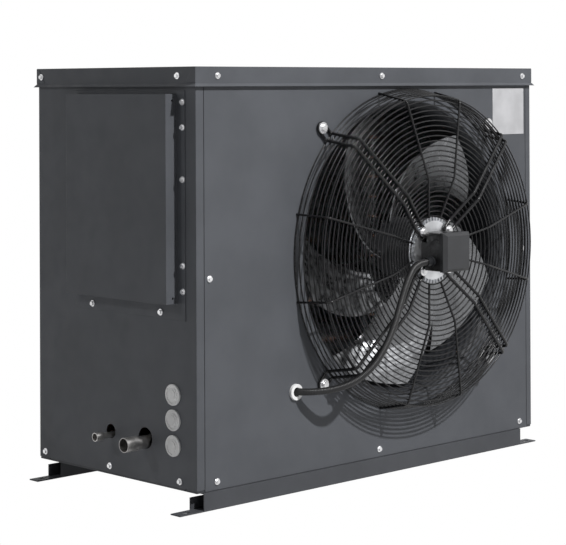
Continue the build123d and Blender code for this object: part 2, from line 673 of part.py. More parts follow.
def cable_gland():
    half = BOX_SIZE / 2
    y = -GLAND_DROP
    gland = rod((-half + 5, y, GLAND_H), (-half, y, GLAND_H), 7.9)
    gland += rod((-half - 0.0, y, GLAND_H), (-half - 6, y, GLAND_H), 12.0)
    gland += rod((-half - 6, y, GLAND_H), (-half - 20, y, GLAND_H), 10.5)
    gland -= rod((-half - 12, y, GLAND_H), (-half - 21, y, GLAND_H), CONDUIT_R + 1.3)
    return fan_axis(gland)


def conduit_route():
    """Route of the motor's conduit, from the gland over the dome's lower left to the grommet."""
    start_x = -BOX_SIZE / 2 - 12
    relative = [
        (start_x, GLAND_H, -GLAND_DROP),
        (-95, GLAND_H, -GLAND_DROP),
        (-134, 123, -52),
        (-158, 124, -98),
        (-178, 124, -147),
        (-206, 123, -194),
        (-238, 116, -236),
        (-277, 97, -268),
        (-315, 62, -286),
    ]
    points = [(FAN_X + x, FRONT - h, FAN_HEIGHT + z) for x, h, z in relative]
    gx = LEFT + GROMMET_FROM_LEFT
    points += [(gx, FRONT - 14, GROMMET_HEIGHT), (gx, FRONT + 30, GROMMET_HEIGHT)]
    return points


def bend_radii(points):
    """The largest arc that each corner's two runs allow: 0.45 of the shorter run."""
    radii = []
    for a, b, c in zip(points, points[1:], points[2:]):
        u, v = Vector(*b) - Vector(*a), Vector(*c) - Vector(*b)
        turn = u.get_angle(v)
        radii.append(0.45 * min(u.length, v.length) / tan(radians(turn) / 2))
    return radii


def conduit():
    points = conduit_route()
    radii = bend_radii(points)
    path = FilletPolyline(*points, radius=radii)
    tube = sweep(Plane(path @ 0, z_dir=path % 0) * Circle(CONDUIT_R), path=path)
    return tube


def grommet():
    """Pale grommet in the front panel, with a bead on each side of the sheet."""
    gx = LEFT + GROMMET_FROM_LEFT
    at = lambda y: (gx, y, GROMMET_HEIGHT)
    ring = rod(at(FRONT - 6), at(FRONT), GROMMET_R) + rod(at(FRONT), at(FRONT + SHEET), GROMMET_HOLE_R - 0.1)
    ring += rod(at(FRONT + SHEET), at(FRONT + SHEET + 4), GROMMET_R - 2)
    ring -= rod(at(FRONT - 8), at(FRONT + 10), CONDUIT_R + 2.2)
    return ring


# ---- service side fittings --------------------------------------------------------------------------
def cable_plugs():
    """Three blanking plugs with a domed membrane, snapped into the side panel."""
    plugs = []
    for z in PLUG_HEIGHTS:
        y = FRONT + PLUG_FROM_FRONT
        body = rod((LEFT, y, z), (LEFT - 3.5, y, z), PLUG_R)
        body -= rod((LEFT - 1.5, y, z), (LEFT - 4, y, z), PLUG_R - 3.5)
        body += rod((LEFT - 1.5, y, z), (LEFT - 3.0, y, z), PLUG_R - 9.0)
        body += rod((LEFT - 1.5, y, z), (LEFT - 5.0, y, z), PLUG_R - 13.0)
        body += rod((LEFT, y, z), (LEFT + 8, y, z), PLUG_HOLE_R - 0.2)
        body -= rod((LEFT + 1, y, z), (LEFT + 9, y, z), PLUG_HOLE_R - 2.5)
        plugs.append(body)
    return group(*plugs)


def nameplate():
    """Blank rating plate on the front panel."""
    x1 = RIGHT - PLATE_FROM_RIGHT
    return box(x1 - PLATE_WIDTH, x1, FRONT - PLATE_THICK, FRONT, PLATE_LOW, PLATE_LOW + PLATE_HEIGHT)


# ---- coil: an L in plan, across the back and forward along the right side ------------------------------
COIL_X0 = PARTITION_X + FRAME_SHEET + COIL_END_SPACE
COIL_Y1 = BACK - COIL_FROM_BACK
COIL_Y0 = COIL_Y1 - COIL_DEPTH
COIL_X2 = RIGHT - COIL_FROM_BACK
COIL_X1 = COIL_X2 - COIL_DEPTH
COIL_END_Y = FRONT + NOZZLE_DEPTH + COIL_NOZZLE_GAP
BEND_X, BEND_Y = COIL_X1 - COIL_BEND, COIL_Y0 - COIL_BEND
HEADER_Y = (COIL_Y0 + COIL_Y1) / 2
COIL_Z0 = PAN_TOP + 6
COIL_Z1 = PANEL_TOP - 14
COIL_TUBES_N = int((COIL_Z1 - COIL_Z0) // COIL_TUBE_PITCH)
COIL_TUBES_Z = [COIL_Z0 + COIL_TUBE_PITCH * (i + 0.5) for i in range(COIL_TUBES_N)]
ROWS = [COIL_DEPTH * (i + 0.5) / COIL_ROWS for i in range(COIL_ROWS)]
ROW_YS = [COIL_Y0 + d for d in ROWS]
ROW_XS = [COIL_X1 + d for d in ROWS]


def coil_fins():
    """The fin pack as one block in plan an L with a round corner, with the tubes' bores."""
    pack = box(COIL_X0 + COIL_PLATE, BEND_X, COIL_Y0, COIL_Y1, COIL_Z0, COIL_Z1)
    pack += box(COIL_X1, COIL_X2, COIL_END_Y, BEND_Y, COIL_Z0, COIL_Z1)
    height = COIL_Z1 - COIL_Z0
    middle = Pos(BEND_X, BEND_Y, (COIL_Z0 + COIL_Z1) / 2)
    corner = middle * (Cylinder(COIL_BEND + COIL_DEPTH, height) - Cylinder(COIL_BEND, height + 2))
    corner &= box(BEND_X, COIL_X2 + 1, BEND_Y, COIL_Y1 + 1, COIL_Z0, COIL_Z1)
    return (pack + corner) - coil_tubes()


def coil_tubes():
    """Copper tubes: along the back, round the corner and forward along the right side."""
    tubes = []
    for x, y, d in zip(ROW_XS, ROW_YS, ROWS):
        for z in COIL_TUBES_Z:
            points = [(COIL_X0 + COIL_PLATE, y, z), (x, y, z), (x, COIL_END_Y, z)]
            tubes.append(pipe(points, COIL_TUBE_R, COIL_BEND + d))
    return group(*tubes)


def coil_end_plates():
    """One plate at the left end of the back leg and one at the front end of the side leg."""
    left = box(COIL_X0, COIL_X0 + COIL_PLATE, COIL_Y0 - 8, COIL_Y1 + 4, PAN_TOP, PANEL_TOP)
    front = box(COIL_X1 - 8, COIL_X2 + 4, COIL_END_Y - COIL_PLATE, COIL_END_Y, PAN_TOP, PANEL_TOP)
    for x, y in zip(ROW_XS, ROW_YS):
        for z in COIL_TUBES_Z:
            left -= rod((COIL_X0 - 1, y, z), (COIL_X0 + 3, y, z), COIL_TUBE_R + 0.1)
            front -= rod((x, COIL_END_Y - 3, z), (x, COIL_END_Y + 1, z), COIL_TUBE_R + 0.1)
    return group(left, front)


def return_bends():
    """Copper return bends outside each end plate, joining neighbouring tubes of a row."""
    bends = []
    for x_row, y_row in zip(ROW_XS, ROW_YS):
        for i in range(COIL_TUBES_N - 1):
            z0, z1 = COIL_TUBES_Z[i], COIL_TUBES_Z[i + 1]
            if i % 2:
                x, y = COIL_X0 + COIL_PLATE, y_row
                points = [(x, y, z0), (x - 28, y, z0), (x - 28, y, z1), (x, y, z1)]
            else:
                x, y = x_row, COIL_END_Y
                points = [(x, y, z0), (x, y - 28, z0), (x, y - 28, z1), (x, y, z1)]
            bends.append(pipe(points, COIL_TUBE_R, 22.0))
    return group(*bends)


def coil_headers():
    """Short manifolds that join the two rows at the top (hot gas) and at the bottom (liquid)."""
    headers = []
    x = COIL_X0 - 16
    for z in (COIL_TUBES_Z[0], COIL_TUBES_Z[-1]):
        header = rod((x, ROW_YS[0] - 12, z), (x, ROW_YS[1] + 12, z), 8.0)
        for y in ROW_YS:
            header += rod((x, y, z), (COIL_X0 + COIL_PLATE, y, z), COIL_TUBE_R)
        header += rod((x, HEADER_Y, z), (x - 14, HEADER_Y, z), COIL_TUBE_R + 2)
        headers.append(header)
    return group(*headers)


def wire_mesh(start, across, width, rise, columns, rows, inward):
    """Welded mesh: upright wires over a width, with crossing wires just inside them."""
    r = COIL_GUARD_WIRE_R
    start, across, inward = Vector(*start), Vector(*across), Vector(*inward)
    up = Vector(0, 0, rise)
    mesh = None
    for i in range(columns):
        foot = start + across * (width * i / (columns - 1))
        wire = rod(tuple(foot), tuple(foot + up), r)
        mesh = wire if mesh is None else mesh + wire
    for i in range(rows):
        side = start + inward * (1.5 * r) + Vector(0, 0, 25 + (rise - 50) * i / (rows - 1))
        mesh += rod(tuple(side - across * 4), tuple(side + across * (width + 4)), r)
    return mesh


def coil_guards():
    """Wire meshes over the coil's back and over the opening in the right side."""
    x0, rise = PARTITION_X + 16, PANEL_TOP - 4 - PAN_TOP
    back = wire_mesh((x0, BACK - 7.0, PAN_TOP), (1, 0, 0), RIGHT - 64.0 - x0, rise, 20, 7, (0, 1, 0))
    x = RIGHT - SHEET - COIL_GUARD_WIRE_R
    low = PAN_TOP + PAN_UPSTAND + GUARD_PAN_GAP
    rise = SIDE_OPEN_HIGH - low + 12
    y0, width = COIL_END_Y + SIDE_OPEN_FRONT - 8, SIDE_OPEN_WIDTH + 16
    side = wire_mesh((x, y0, low), (0, 1, 0), width, rise, 11, 7, (-1, 0, 0))
    return group(back, side)


# ---- compressor bay ---------------------------------------------------------------------------------
COMP_X = LEFT + 190.0
COMP_Y = FRONT + SUCTION_FROM_FRONT
FEET_TOP = PAN_TOP + MOUNT_HEIGHT


def compressor():
    """Hermetic shell: a can with domed ends, a seam, a terminal boss and two pipe ports."""
    r, h = COMPRESSOR_R, COMPRESSOR_HEIGHT
    z0 = FEET_TOP + 3.0
    shell = Pos(COMP_X, COMP_Y, z0 + h / 2) * Cylinder(r, h)
    shell = fillet(shell.edges().filter_by(GeomType.CIRCLE), 34)
    shell += Pos(COMP_X, COMP_Y, z0 + h * 0.6) * Cylinder(r + 3, 6)
    shell += box(COMP_X - 32, COMP_X + 32, COMP_Y - r - 2, COMP_Y, z0 + 60, z0 + 130)
    shell += rod((COMP_X, COMP_Y, SUCTION_PORT_Z), (COMP_X - r - 16, COMP_Y, SUCTION_PORT_Z), SUCTION_R)
    return shell + rod((COMP_X + 25, COMP_Y, z0 + h - 20), (COMP_X + 25, COMP_Y, z0 + h + 20), 9.0)


def compressor_terminal_cover():
    r, z0 = COMPRESSOR_R, FEET_TOP + 3.0
    cover = box(COMP_X - 32, COMP_X + 32, COMP_Y - r - 32, COMP_Y - r - 2, z0 + 60, z0 + 130)
    return cover - box(COMP_X - 30, COMP_X + 30, COMP_Y - r - 30, COMP_Y - r, z0 + 62, z0 + 128)


def crankcase_heater():
    """Belt heater around the lower shell."""
    z = FEET_TOP + 46
    belt = Pos(COMP_X, COMP_Y, z) * (Cylinder(COMPRESSOR_R + 5, 14) - Cylinder(COMPRESSOR_R + 0.1, 15))
    return belt - box(COMP_X + 20, COMP_X + 32, COMP_Y, COMP_Y + COMPRESSOR_R + 9, z - 8, z + 8)


def compressor_base():
    half = COMPRESSOR_FOOT / 2
    plate = box(COMP_X - half, COMP_X + half, COMP_Y - half, COMP_Y + half, FEET_TOP, FEET_TOP + 3)
    for x, y in mount_points():
        plate -= rod((x, y, FEET_TOP - 1), (x, y, FEET_TOP + 4), 6.0)
    return plate


def mount_points():
    q = COMPRESSOR_FOOT / 2 - 18
    return [(COMP_X + i * q, COMP_Y + j * q) for i in (-1, 1) for j in (-1, 1)]


def compressor_mounts():
    """Rubber grommets between the base plate and the pan."""
    feet = []
    for x, y in mount_points():
        foot = rod((x, y, PAN_TOP), (x, y, FEET_TOP), 15) + rod((x, y, FEET_TOP), (x, y, FEET_TOP + 3), 5.9)
        foot -= rod((x, y, PAN_TOP - 1), (x, y, FEET_TOP + 4), 4.2)
        feet.append(foot)
    return group(*feet)


def compressor_bolts():
    bolts = []
    for x, y in mount_points():
        top = FEET_TOP + 3
        bolt = rod((x, y, PAN_TOP), (x, y, top), 4.0)
        bolt += rod((x, y, top), (x, y, top + 2), 12)
        bolt += extrude(Pos(x, y, top + 2) * RegularPolygon(7.5, 6), 6)
        bolts.append(bolt)
    return group(*bolts)


COMP_TOP = FEET_TOP + 3 + COMPRESSOR_HEIGHT
SUCTION_PORT_Z = FEET_TOP + 233.0
REC_X = LEFT + 215.0
REC_Y = BACK - 100.0
VALVE_X = LEFT + 62.0
SUC_Y, SUC_Z = FRONT + SUCTION_FROM_FRONT, SUCTION_HEIGHT
LIQ_Y, LIQ_Z = FRONT + LIQUID_FROM_FRONT, LIQUID_HEIGHT


def receiver():
    """Upright liquid receiver with domed ends and a foot ring."""
    z0 = PAN_TOP + 20
    shell = Pos(REC_X, REC_Y, z0 + RECEIVER_HEIGHT / 2) * Cylinder(RECEIVER_R, RECEIVER_HEIGHT)
    shell = fillet(shell.edges().filter_by(GeomType.CIRCLE), 24)
    foot = rod((REC_X, REC_Y, PAN_TOP), (REC_X, REC_Y, z0 + 12), 38)
    foot -= rod((REC_X, REC_Y, PAN_TOP - 1), (REC_X, REC_Y, z0 - 1), 34)
    return shell + foot


# ---- service valves ---------------------------------------------------------------------------------
BALL_GAP = 0.08
STEM_R = 4.0


def ball_valve(center, along, up, body_r, ball_r, bore_r, length, stem_top):
    """Body and ball of a shut-off valve: the ball turns in the body about its stem."""
    c, a, u = Vector(*center), Vector(*along), Vector(*up)
    end0, end1 = c - a * (length / 2), c + a * (length / 2)
    body = rod(tuple(end0), tuple(end1), bore_r + 3.5) + rod(
        tuple(c - a * (ball_r + 4)), tuple(c + a * (ball_r + 4)), body_r
    )
    body += rod(tuple(c), tuple(c + u * (body_r + 9)), STEM_R + 4.5)
    body -= Pos(*center) * Sphere(ball_r + BALL_GAP)
    body -= rod(tuple(c), tuple(c + u * (body_r + 12)), STEM_R + BALL_GAP)
    body -= rod(tuple(end0 - a), tuple(end1 + a), bore_r)
    ball = Pos(*center) * Sphere(ball_r) + rod(tuple(c), tuple(c + u * stem_top), STEM_R)
    ball -= rod(tuple(c - a * ball_r * 1.2), tuple(c + a * ball_r * 1.2), bore_r)
    flat = Plane(c + u * (body_r + 10), x_dir=a, z_dir=u)
    square = extrude(flat * Rectangle(STEM_R * 1.3, STEM_R * 4), stem_top - body_r - 10)
    around = extrude(flat * Circle(STEM_R * 1.5), stem_top - body_r - 9)
    return body, ball - (around - square)


SUC_VALVE_Z = 215.0
SUC_RISER_X = LEFT + 46.0
SUC_BORE = SUCTION_R - PIPE_WALL
suction_valve_body, suction_valve_ball = ball_valve(
    (SUC_RISER_X, SUC_Y, SUC_VALVE_Z), (0, 0, 1), (0, -1, 0), 24.0, 17.0, 11.0, 70.0, 46.0
)
LIQ_VALVE_X = LEFT + 50.0
liquid_valve_body, liquid_valve_ball = ball_valve(
    (LIQ_VALVE_X, LIQ_Y, LIQ_Z), (1, 0, 0), (0, 0, 1), 13.0, 9.0, 5.0, 44.0, 36.0
)


def suction_stub():
    """Suction connection: a swaged cup outside the panel, then a bend up to the valve."""
    tip = LEFT - SUCTION_OUT
    points = [(tip + 32, SUC_Y, SUC_Z), (SUC_RISER_X, SUC_Y, SUC_Z), (SUC_RISER_X, SUC_Y, SUC_VALVE_Z - 35)]
    tube = pipe(points, SUCTION_R - 0.6, 24.0, PIPE_WALL)
    cup = rod((tip, SUC_Y, SUC_Z), (tip + 34, SUC_Y, SUC_Z), SUCTION_R + 1.1)
    cup -= rod((tip - 1, SUC_Y, SUC_Z), (tip + 32, SUC_Y, SUC_Z), SUCTION_R + 0.05)
    cup -= rod((tip, SUC_Y, SUC_Z), (tip + 35, SUC_Y, SUC_Z), SUCTION_R - 1.8)
    return tube + cup


def liquid_stub():
    """Liquid connection: a narrow tube with a swaged cup at its outer end."""
    tip = LEFT - LIQUID_OUT
    x_in = LIQ_VALVE_X - 22
    tube = rod((tip + 18, LIQ_Y, LIQ_Z), (x_in, LIQ_Y, LIQ_Z), LIQUID_R)
    tube += rod((tip, LIQ_Y, LIQ_Z), (tip + 20, LIQ_Y, LIQ_Z), LIQUID_R + 3.0)
    tube -= rod((tip - 1, LIQ_Y, LIQ_Z), (tip + 16, LIQ_Y, LIQ_Z), LIQUID_R + 1.6)
    return tube - rod((tip, LIQ_Y, LIQ_Z), (x_in + 1, LIQ_Y, LIQ_Z), LIQUID_R - PIPE_WALL)


def suction_pipe():
    start = (SUC_RISER_X, SUC_Y, SUC_VALVE_Z + 35)
    points = [start, (SUC_RISER_X, SUC_Y, SUCTION_PORT_Z), (COMP_X - COMPRESSOR_R - 16, SUC_Y, SUCTION_PORT_Z)]
    return pipe(points, SUCTION_R - 0.6, 24.0, PIPE_WALL)


def discharge_pipe():
    x, z0 = COMP_X + 25, COMP_TOP + 20
    points = [(x, COMP_Y, z0), (x, COMP_Y, COIL_TUBES_Z[-1]), (x, HEADER_Y, COIL_TUBES_Z[-1]), (COIL_X0 - 30, HEADER_Y, COIL_TUBES_Z[-1])]
    return pipe(points, 8.0, 26.0)


REC_TOP = PAN_TOP + 20 + RECEIVER_HEIGHT


def drop_pipe():
    """Condenser outlet to the top of the receiver."""
    x, z = PARTITION_X - 22, COIL_TUBES_Z[0]
    points = [(COIL_X0 - 30, HEADER_Y, z), (x, HEADER_Y, z), (x, HEADER_Y, REC_TOP + 22), (x, REC_Y - 20, REC_TOP + 22), (REC_X, REC_Y - 20, REC_TOP + 22), (REC_X, REC_Y - 20, REC_TOP)]
    return pipe(points, LIQUID_R, 14.0)


DRIER_X = LEFT + 98.0
DRIER_Y0, DRIER_Y1 = LIQ_Y + 74.0, LIQ_Y + 190.0


def liquid_pipe():
    """Valve to sight glass."""
    points = [(LIQ_VALVE_X + 22, LIQ_Y, LIQ_Z), (DRIER_X, LIQ_Y, LIQ_Z), (DRIER_X, LIQ_Y + 30, LIQ_Z)]
    return pipe(points, LIQUID_R, 16.0)


def sight_glass():
    y0 = LIQ_Y + 30
    body = rod((DRIER_X, y0, LIQ_Z), (DRIER_X, y0 + 44, LIQ_Z), 9.0)
    return body + rod((DRIER_X, y0 + 22, LIQ_Z), (DRIER_X, y0 + 22, LIQ_Z + 16), 14.0)


def filter_drier():
    """Steel cartridge with a cone at each end."""
    body = rod((DRIER_X, DRIER_Y0 + 18, LIQ_Z), (DRIER_X, DRIER_Y1 - 18, LIQ_Z), 25.0)
    body = chamfer(body.edges().filter_by(GeomType.CIRCLE), 8)
    return body + rod((DRIER_X, DRIER_Y0, LIQ_Z), (DRIER_X, DRIER_Y1, LIQ_Z), 9.0)


def receiver_outlet_pipe():
    y, z = DRIER_Y1 + 24, REC_TOP + 34
    points = [(DRIER_X, DRIER_Y1, LIQ_Z), (DRIER_X, y, LIQ_Z), (DRIER_X, y, z), (REC_X, y, z), (REC_X, REC_Y + 20, z), (REC_X, REC_Y + 20, REC_TOP)]
    return pipe(points, LIQUID_R, 9.0)


# ---- all the pieces ---------------------------------------------------------------------------------
rail, contactor, breaker, controller, terminals = din_rail_set()
receiver_solid = receiver()
nodes = {
    "front_rail": front_rail,
    "rear_rail": rear_rail,
    "base_pan": base_pan(),
    "corner_posts": group(*[corner_post(l, f) for l in (True, False) for f in (True, False)]),
    "left_side_panel": left_side_panel(),
    "right_side_panel": right_side_panel(),
    "front_panel": front_panel(),
    "rear_panel": rear_panel(),
    "lid": lid(),
    "partition": partition(),
    "control_box": control_box(),
    "control_cover": control_cover(),
    "din_rail": rail,
    "contactor": contactor,
    "circuit_breaker": breaker,
    "fan_speed_controller": controller,
    "terminal_strip": terminals,
    "nozzle_ring": nozzle_ring(),
    "fan_blades": group(*[blade(360 / BLADE_COUNT * i + BLADE_START) for i in range(BLADE_COUNT)]),
    "motor_stator": motor_stator(),
    "motor_rotor": motor_rotor(),
    "motor_bearings": motor_bearings(),
    "guard_rings": guard_rings(),
    "guard_ribs": group(*[guard_rib(a) for a in (15, 75, 105, 165, 195, 255, 285, 345)]),
    "motor_arms": group(*[motor_arm(a) for a in (45, 135, 225, 315)]),
    "guard_bolts": guard_bolts(),
    "motor_bolts": motor_bolts(),
    "terminal_box": terminal_box(),
    "terminal_box_lid": terminal_box_lid(),
    "cable_gland": cable_gland(),
    "conduit": conduit(),
    "grommet": grommet(),
    "cable_plugs": cable_plugs(),
    "nameplate": nameplate(),
    "panel_screws": group(*[screw(s) for s in panel_sites]),
    "lid_screws": group(*[screw(s) for s in lid_outer_sites]),
    "cover_screws": group(*[screw(s) for s in cover_sites]),
    "coil_fins": coil_fins(),
    "coil_tubes": coil_tubes(),
    "coil_end_plates": coil_end_plates(),
    "coil_return_bends": return_bends(),
    "coil_headers": coil_headers(),
    "coil_guards": coil_guards(),
    "compressor": compressor(),
    "compressor_base": compressor_base(),
    "compressor_mounts": compressor_mounts(),
    "compressor_bolts": compressor_bolts(),
    "compressor_terminal_cover": compressor_terminal_cover(),
    "crankcase_heater": crankcase_heater(),
    "liquid_receiver": receiver_solid,
    "suction_stub": suction_stub(),
    "suction_valve_body": suction_valve_body,
    "suction_valve_ball": suction_valve_ball,
    "suction_pipe": suction_pipe(),
    "liquid_stub": liquid_stub(),
    "liquid_valve_body": liquid_valve_body,
    "liquid_valve_ball": liquid_valve_ball,
    "liquid_line": group(liquid_pipe(), receiver_outlet_pipe(), drop_pipe()),
    "discharge_pipe": discharge_pipe(),
    "sight_glass_and_drier": group(sight_glass(), filter_drier()),
}

os.makedirs("parts", exist_ok=True)
for name, solid in nodes.items():
    export_step(solid, f"parts/{name}.step")
    size = solid.bounding_box()
    print(name, len(solid.solids()), round(solid.volume), size.min, size.max)
print(len(nodes), "nodes")
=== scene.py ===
"""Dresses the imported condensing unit: paints, wire guard, coil fins, corrugated conduit and studio."""
import bpy
import bmesh
import json
import math
from mathutils import Matrix, Vector

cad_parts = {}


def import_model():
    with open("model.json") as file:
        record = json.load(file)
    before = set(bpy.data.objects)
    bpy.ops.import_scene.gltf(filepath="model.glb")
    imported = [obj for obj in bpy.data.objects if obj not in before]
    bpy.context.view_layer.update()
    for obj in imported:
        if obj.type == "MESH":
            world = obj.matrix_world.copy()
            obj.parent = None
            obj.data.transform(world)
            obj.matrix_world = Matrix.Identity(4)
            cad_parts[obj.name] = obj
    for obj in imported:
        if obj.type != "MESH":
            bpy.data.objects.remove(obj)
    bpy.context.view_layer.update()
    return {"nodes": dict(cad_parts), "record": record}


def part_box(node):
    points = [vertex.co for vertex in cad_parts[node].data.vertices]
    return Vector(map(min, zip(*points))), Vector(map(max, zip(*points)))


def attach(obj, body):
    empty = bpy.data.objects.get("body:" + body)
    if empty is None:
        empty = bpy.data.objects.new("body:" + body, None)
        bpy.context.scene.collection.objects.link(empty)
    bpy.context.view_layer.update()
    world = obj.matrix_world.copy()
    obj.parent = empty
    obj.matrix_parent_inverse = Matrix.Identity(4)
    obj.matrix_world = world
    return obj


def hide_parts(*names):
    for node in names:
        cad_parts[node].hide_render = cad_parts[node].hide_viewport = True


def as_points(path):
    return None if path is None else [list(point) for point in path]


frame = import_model()
NODES = frame["nodes"]


# ---- materials --------------------------------------------------------------------------------------
class Mat:
    """A Principled material with small helpers for procedural detail in object space."""

    def __init__(self, name, color, rough, metal=0.0, specular=0.5):
        self.m = bpy.data.materials.new(name)
        self.m.use_nodes = True
        self.t = self.m.node_tree
        self.p = self.t.nodes["Principled BSDF"]
        self.color = color
        self.p.inputs["Base Color"].default_value = (*color, 1)
        self.p.inputs["Roughness"].default_value = rough
        self.p.inputs["Metallic"].default_value = metal
        self.p.inputs["Specular IOR Level"].default_value = specular
        self.height = None
        self.coord = self.t.nodes.new("ShaderNodeTexCoord").outputs["Object"]

    def node(self, kind, **values):
        n = self.t.nodes.new(kind)
        for key, value in values.items():
            if key in n.inputs:
                n.inputs[key].default_value = value
            else:
                setattr(n, key, value)
        return n

    def noise(self, scale, detail=2.0, stretch=(1, 1, 1)):
        place = self.node("ShaderNodeMapping")
        place.inputs["Scale"].default_value = stretch
        self.t.links.new(self.coord, place.inputs["Vector"])
        n = self.node("ShaderNodeTexNoise", Scale=scale, Detail=detail)
        self.t.links.new(place.outputs["Vector"], n.inputs["Vector"])
        return n.outputs["Fac"]

    def ramp(self, source, low, high, a=0.35, b=0.65):
        r = self.node("ShaderNodeMapRange")
        for key, value in (("From Min", a), ("From Max", b), ("To Min", low), ("To Max", high)):
            r.inputs[key].default_value = value
        self.t.links.new(source, r.inputs["Value"])
        return r.outputs["Result"]

    def tint(self, source, low, high):
        """Varies the base colour between two brightness factors."""
        mix = self.node("ShaderNodeMix", data_type="RGBA")
        mix.inputs[6].default_value = (*[c * low for c in self.color], 1)
        mix.inputs[7].default_value = (*[min(c * high, 1) for c in self.color], 1)
        self.t.links.new(self.ramp(source, 0, 1), mix.inputs[0])
        self.t.links.new(mix.outputs[2], self.p.inputs["Base Color"])
        return self

    def gloss(self, source, low, high):
        self.t.links.new(self.ramp(source, low, high), self.p.inputs["Roughness"])
        return self

    def soft_edges(self, radius):
        """Rounds the shading of sharp folds, as a bent sheet's small radius does."""
        b = self.node("ShaderNodeBevel", samples=4)
        b.inputs["Radius"].default_value = radius
        self.height = b.outputs["Normal"]
        return self

    def bump(self, source, distance, strength=1.0):
        b = self.node("ShaderNodeBump", Strength=strength, Distance=distance)
        self.t.links.new(source, b.inputs["Height"])
        if self.height is not None:
            self.t.links.new(self.height, b.inputs["Normal"])
        self.height = b.outputs["Normal"]
        self.t.links.new(self.height, self.p.inputs["Normal"])
        return self


def powder(name, color, rough=0.5):
    """Powder coat: fine orange peel, faint clouding and slightly uneven gloss."""
    m = Mat(name, color, rough, specular=0.22)
    m.soft_edges(0.0026)
    m.tint(m.noise(9.0, 4.0), 0.93, 1.07)
    m.gloss(m.noise(30.0, 3.0), rough - 0.06, rough + 0.07)
    m.bump(m.noise(900.0, 2.0), 0.00012, 0.35)
    return m.m


def metal(name, color, rough, grain=400.0, stretch=(1, 1, 1), depth=0.00008):
    m = Mat(name, color, rough, metal=1.0)
    m.tint(m.noise(25.0, 5.0), 0.82, 1.08)
    m.gloss(m.noise(60.0, 4.0), rough - 0.08, rough + 0.12)
    m.bump(m.noise(grain, 3.0, stretch), depth, 0.5)
    return m.m


def plastic(name, color, rough, grain=1400.0, depth=0.00008, specular=0.35):
    m = Mat(name, color, rough, specular=specular)
    m.tint(m.noise(20.0, 3.0), 0.9, 1.1)
    m.gloss(m.noise(70.0, 3.0), rough - 0.05, rough + 0.08)
    m.bump(m.noise(grain, 2.0), depth, 0.5)
    return m.m


PANEL_GREY = (0.094, 0.099, 0.110)
MATS = {
    "panel": powder("panel_paint", PANEL_GREY, 0.48),
    "rail": powder("rail_paint", (0.070, 0.073, 0.081), 0.52),
    "zinc": metal("zinc_sheet", (0.50, 0.51, 0.53), 0.42, 120.0),
    "wire": plastic("wire_black", (0.009, 0.009, 0.010), 0.24, 700.0, 0.00003, specular=0.28),
    "screw": metal("screw_zinc", (0.74, 0.74, 0.75), 0.3),
    "blade": metal("blade_aluminium", (0.26, 0.265, 0.275), 0.31, 500.0),
    "switch": plastic("fan_plastic", (0.014, 0.015, 0.017), 0.42),
    "nozzle": powder("nozzle_paint", (0.035, 0.037, 0.042), 0.5),
    "cast": metal("cast_aluminium", (0.66, 0.67, 0.69), 0.38, 900.0, depth=0.0002),
    "rotor": powder("rotor_paint", (0.03, 0.031, 0.034), 0.42),
    "steel": metal("bearing_steel", (0.62, 0.62, 0.64), 0.25),
    "box": plastic("box_plastic", (0.014, 0.014, 0.015), 0.3, 1600.0),
    "boxlid": plastic("box_lid_plastic", (0.035, 0.036, 0.039), 0.42, 1200.0, 0.00012),
    "pale": plastic("pale_rubber", (0.95, 0.95, 0.95), 0.5),
    "dark": plastic("dark_rubber", (0.02, 0.02, 0.02), 0.7),
    "plate": plastic("plate_white", (0.53, 0.53, 0.545), 0.4),
    "fin": metal("fin_aluminium", (0.80, 0.81, 0.83), 0.34, 60.0, (1, 1, 8)),
    "copper": metal("copper", (0.72, 0.36, 0.22), 0.32),
    "stub": metal("stub_metal", (0.46, 0.45, 0.44), 0.38),
    "brass": metal("valve_brass", (0.70, 0.53, 0.28), 0.33),
    "tube": plastic("conduit_black", (0.016, 0.016, 0.017), 0.33, 900.0),
}
SLOT_TO_MAT = {
    "panel_paint": "panel", "rail_paint": "rail", "zinc_sheet": "zinc",
    "wire_black": "wire", "screw_zinc": "screw", "fan_plastic": "switch",
    "blade_aluminium": "blade", "nozzle_paint": "nozzle", "cast_aluminium": "cast",
    "rotor_paint": "rotor", "bearing_steel": "steel", "box_plastic": "box",
    "box_lid_plastic": "boxlid", "pale_rubber": "pale", "dark_rubber": "dark",
    "plate_white": "plate", "fin_aluminium": "fin", "copper": "copper",
    "stub_metal": "stub", "valve_brass": "brass",
}
SLOT_OF = {s["node"]: s["material_slot"] for s in frame["record"]["subparts"]}
for name, obj in NODES.items():
    material = MATS[SLOT_TO_MAT[SLOT_OF[name]]]
    obj.data.materials.clear()
    obj.data.materials.append(material)


# ---- pieces -----------------------------------------------------------------------------------------
def piece(name, bm, material, body="cabinet", smooth=False):
    mesh = bpy.data.meshes.new(name)
    bm.to_mesh(mesh)
    bm.free()
    obj = bpy.data.objects.new(name, mesh)
    bpy.context.scene.collection.objects.link(obj)
    mesh.materials.append(MATS[material])
    if smooth:
        mesh.polygons.foreach_set("use_smooth", [True] * len(mesh.polygons))
    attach(obj, body)
    return obj


# ---- fin pack: thin upright plates, rippled from top to bottom ---------------------------------------
FIN_PITCH = 0.0021
FIN_THICK = 0.00022
FIN_DEPTH = 0.044
FIN_BEND = 0.05
FIN_INSET = 0.0006
RIPPLE_STEP = 0.013
RIPPLE = 0.00035


